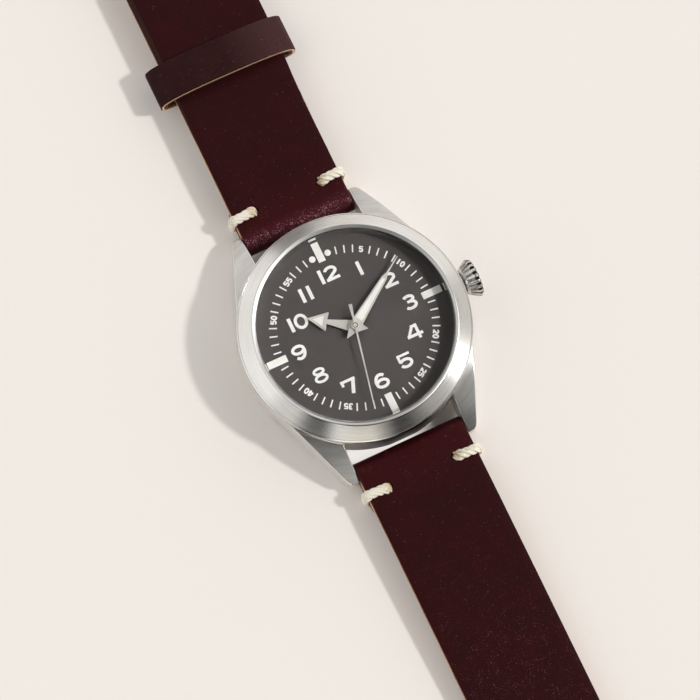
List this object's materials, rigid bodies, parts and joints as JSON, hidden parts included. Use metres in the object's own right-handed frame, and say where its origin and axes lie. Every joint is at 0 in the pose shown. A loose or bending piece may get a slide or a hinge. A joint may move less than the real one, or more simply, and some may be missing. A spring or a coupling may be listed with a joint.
{
  "type": "pilot watch",
  "caption": "Steel pilot wristwatch with a grey dial, sword hands and a leather strap, lying open.",
  "frame": {"origin": "middle of the case back's outer face, on the axis of the hands", "axes": "+Z along the hands' axis out of the dial, +Y towards twelve o'clock, +X towards the crown"},
  "size_m": [0.0428, 0.2482, 0.0108],
  "materials": {
    "brushed_steel_case": "satin",
    "polished_steel": "gloss",
    "sapphire_glass": "gloss",
    "white_seal": "matte",
    "black_rubber": "matte",
    "dial_grey": "matte",
    "white_lume": "matte",
    "white_plastic": "matte",
    "brass_movement": "satin",
    "copper_coil": "gloss",
    "circuit_green": "gloss",
    "satin_hands": "satin",
    "strap_leather": "satin",
    "waxed_thread": "matte"
  },
  "bodies": {
    "case": {"mid_case": "brushed_steel_case", "bezel": "brushed_steel_case", "crystal": "sapphire_glass", "crystal_gasket": "white_seal", "rehaut_ring": "polished_steel", "dial": "dial_grey", "quarter_markers": "white_lume", "movement_ring": "white_plastic", "case_back": "brushed_steel_case", "case_back_gasket": "black_rubber", "crown_tube": "polished_steel", "spring_bar_12": "polished_steel", "spring_bar_6": "polished_steel", "main_plate": "brass_movement", "train_bridge": "polished_steel", "bridge_screws": "polished_steel", "battery": "polished_steel", "battery_clip": "polished_steel", "coil_block": "copper_coil", "stator": "polished_steel", "circuit_board": "circuit_green", "yoke": "polished_steel", "dial_washer": "brass_movement"},
    "rotor": {"rotor": "polished_steel"},
    "fifth_wheel": {"fifth_wheel": "brass_movement"},
    "seconds": {"fourth_wheel": "brass_movement", "second_hand": "satin_hands"},
    "third_wheel": {"third_wheel": "brass_movement"},
    "minutes": {"centre_wheel": "brass_movement", "cannon_pinion": "polished_steel", "minute_hand": "satin_hands", "minute_lume": "white_lume"},
    "minute_wheel": {"minute_wheel": "brass_movement"},
    "hours": {"hour_wheel": "brass_movement", "hour_hand": "satin_hands", "hour_lume": "white_lume"},
    "setting_wheel": {"setting_wheel": "brass_movement"},
    "sliding_pinion": {"sliding_pinion": "polished_steel"},
    "crown": {"stem": "polished_steel", "crown": "brushed_steel_case", "crown_gasket": "black_rubber"},
    "setting_lever": {"setting_lever": "polished_steel"},
    "bar_tip_12_left": {"bar_tip_12_left": "polished_steel"},
    "bar_tip_12_right": {"bar_tip_12_right": "polished_steel"},
    "bar_tip_6_left": {"bar_tip_6_left": "polished_steel"},
    "bar_tip_6_right": {"bar_tip_6_right": "polished_steel"},
    "strap_short": {"strap_buckle_side": "strap_leather", "stitches_buckle_side": "waxed_thread", "fixed_keeper": "strap_leather"},
    "free_keeper": {"free_keeper": "strap_leather"},
    "buckle": {"buckle_frame": "brushed_steel_case", "buckle_pin": "polished_steel"},
    "tongue": {"buckle_tongue": "brushed_steel_case"},
    "strap_long": {"strap_hole_side": "strap_leather", "stitches_hole_side": "waxed_thread"}
  },
  "joints": [
    {"name": "seconds_turn", "type": "hinge", "parent": "case", "child": "seconds", "pos_m": [0, 0, 0.0049], "axis": [0, 0, -1], "continuous": true},
    {"name": "third_wheel_turn", "type": "hinge", "parent": "case", "child": "third_wheel", "pos_m": [0.00075, 0.00278, 0.0049], "axis": [0, 0, -1], "continuous": true},
    {"name": "fifth_wheel_turn", "type": "hinge", "parent": "case", "child": "fifth_wheel", "pos_m": [-0.00282, -0.00103, 0.0049], "axis": [0, 0, -1], "continuous": true},
    {"name": "rotor_turn", "type": "hinge", "parent": "case", "child": "rotor", "pos_m": [-0.00479, -0.00031, 0.0049], "axis": [0, 0, -1], "continuous": true},
    {"name": "minutes_turn", "type": "hinge", "parent": "case", "child": "minutes", "pos_m": [0, 0, 0.0049], "axis": [0, 0, -1], "continuous": true},
    {"name": "minute_wheel_turn", "type": "hinge", "parent": "case", "child": "minute_wheel", "pos_m": [0.0024, 0, 0.0049], "axis": [0, 0, -1], "continuous": true},
    {"name": "hours_turn", "type": "hinge", "parent": "case", "child": "hours", "pos_m": [0, 0, 0.0049], "axis": [0, 0, -1], "continuous": true},
    {"name": "setting_wheel_turn", "type": "hinge", "parent": "case", "child": "setting_wheel", "pos_m": [0.0054, 0, 0.0049], "axis": [0, 0, -1], "continuous": true},
    {"name": "crown_turn", "type": "hinge", "parent": "case", "child": "sliding_pinion", "pos_m": [0.0078, 0, 0.005], "axis": [1, 0, 0], "continuous": true},
    {"name": "crown_pull", "type": "slide", "parent": "sliding_pinion", "child": "crown", "axis": [1, 0, 0], "range_m": [0, 0.001]},
    {"name": "lever_swing", "type": "hinge", "parent": "case", "child": "setting_lever", "pos_m": [0.01, 0.004, 0.00425], "axis": [0, 0, 1], "range_deg": [0, 16]},
    {"name": "bar_12_left_pin_press", "type": "slide", "parent": "case", "child": "bar_tip_12_left", "axis": [1, 0, 0], "range_m": [0, 0.00115]},
    {"name": "bar_12_right_pin_press", "type": "slide", "parent": "case", "child": "bar_tip_12_right", "axis": [-1, 0, 0], "range_m": [0, 0.00115]},
    {"name": "bar_6_left_pin_press", "type": "slide", "parent": "case", "child": "bar_tip_6_left", "axis": [1, 0, 0], "range_m": [0, 0.00115]},
    {"name": "bar_6_right_pin_press", "type": "slide", "parent": "case", "child": "bar_tip_6_right", "axis": [-1, 0, 0], "range_m": [0, 0.00115]},
    {"name": "short_strap_hinge", "type": "hinge", "parent": "case", "child": "strap_short", "pos_m": [0, 0.0217, 0.00245], "axis": [1, 0, 0], "range_deg": [-90, 75]},
    {"name": "long_strap_hinge", "type": "hinge", "parent": "case", "child": "strap_long", "pos_m": [0, -0.0217, 0.00245], "axis": [-1, 0, 0], "range_deg": [-90, 75]},
    {"name": "free_keeper_slide", "type": "slide", "parent": "strap_short", "child": "free_keeper", "axis": [0, 1, 0], "range_m": [-0.0135, 0.024]},
    {"name": "buckle_hinge", "type": "hinge", "parent": "strap_short", "child": "buckle", "pos_m": [0, 0.0967, 0.00385], "axis": [1, 0, 0], "range_deg": [-90, 60]},
    {"name": "tongue_hinge", "type": "hinge", "parent": "buckle", "child": "tongue", "pos_m": [0, 0.0967, 0.00385], "axis": [1, 0, 0], "range_deg": [0, 80]}
  ],
  "couplings": [
    {"joint": "third_wheel_turn", "follows": "seconds_turn", "ratio": -0.13333},
    {"joint": "fifth_wheel_turn", "follows": "seconds_turn", "ratio": -5},
    {"joint": "rotor_turn", "follows": "seconds_turn", "ratio": 30},
    {"joint": "minutes_turn", "follows": "seconds_turn", "ratio": 0.016667},
    {"joint": "minute_wheel_turn", "follows": "seconds_turn", "ratio": -0.0055556},
    {"joint": "hours_turn", "follows": "seconds_turn", "ratio": 0.0013889},
    {"joint": "setting_wheel_turn", "follows": "seconds_turn", "ratio": 0.0083333},
    {"joint": "lever_swing", "follows": "crown_pull", "rad_per_m": 274.73}
  ]
}
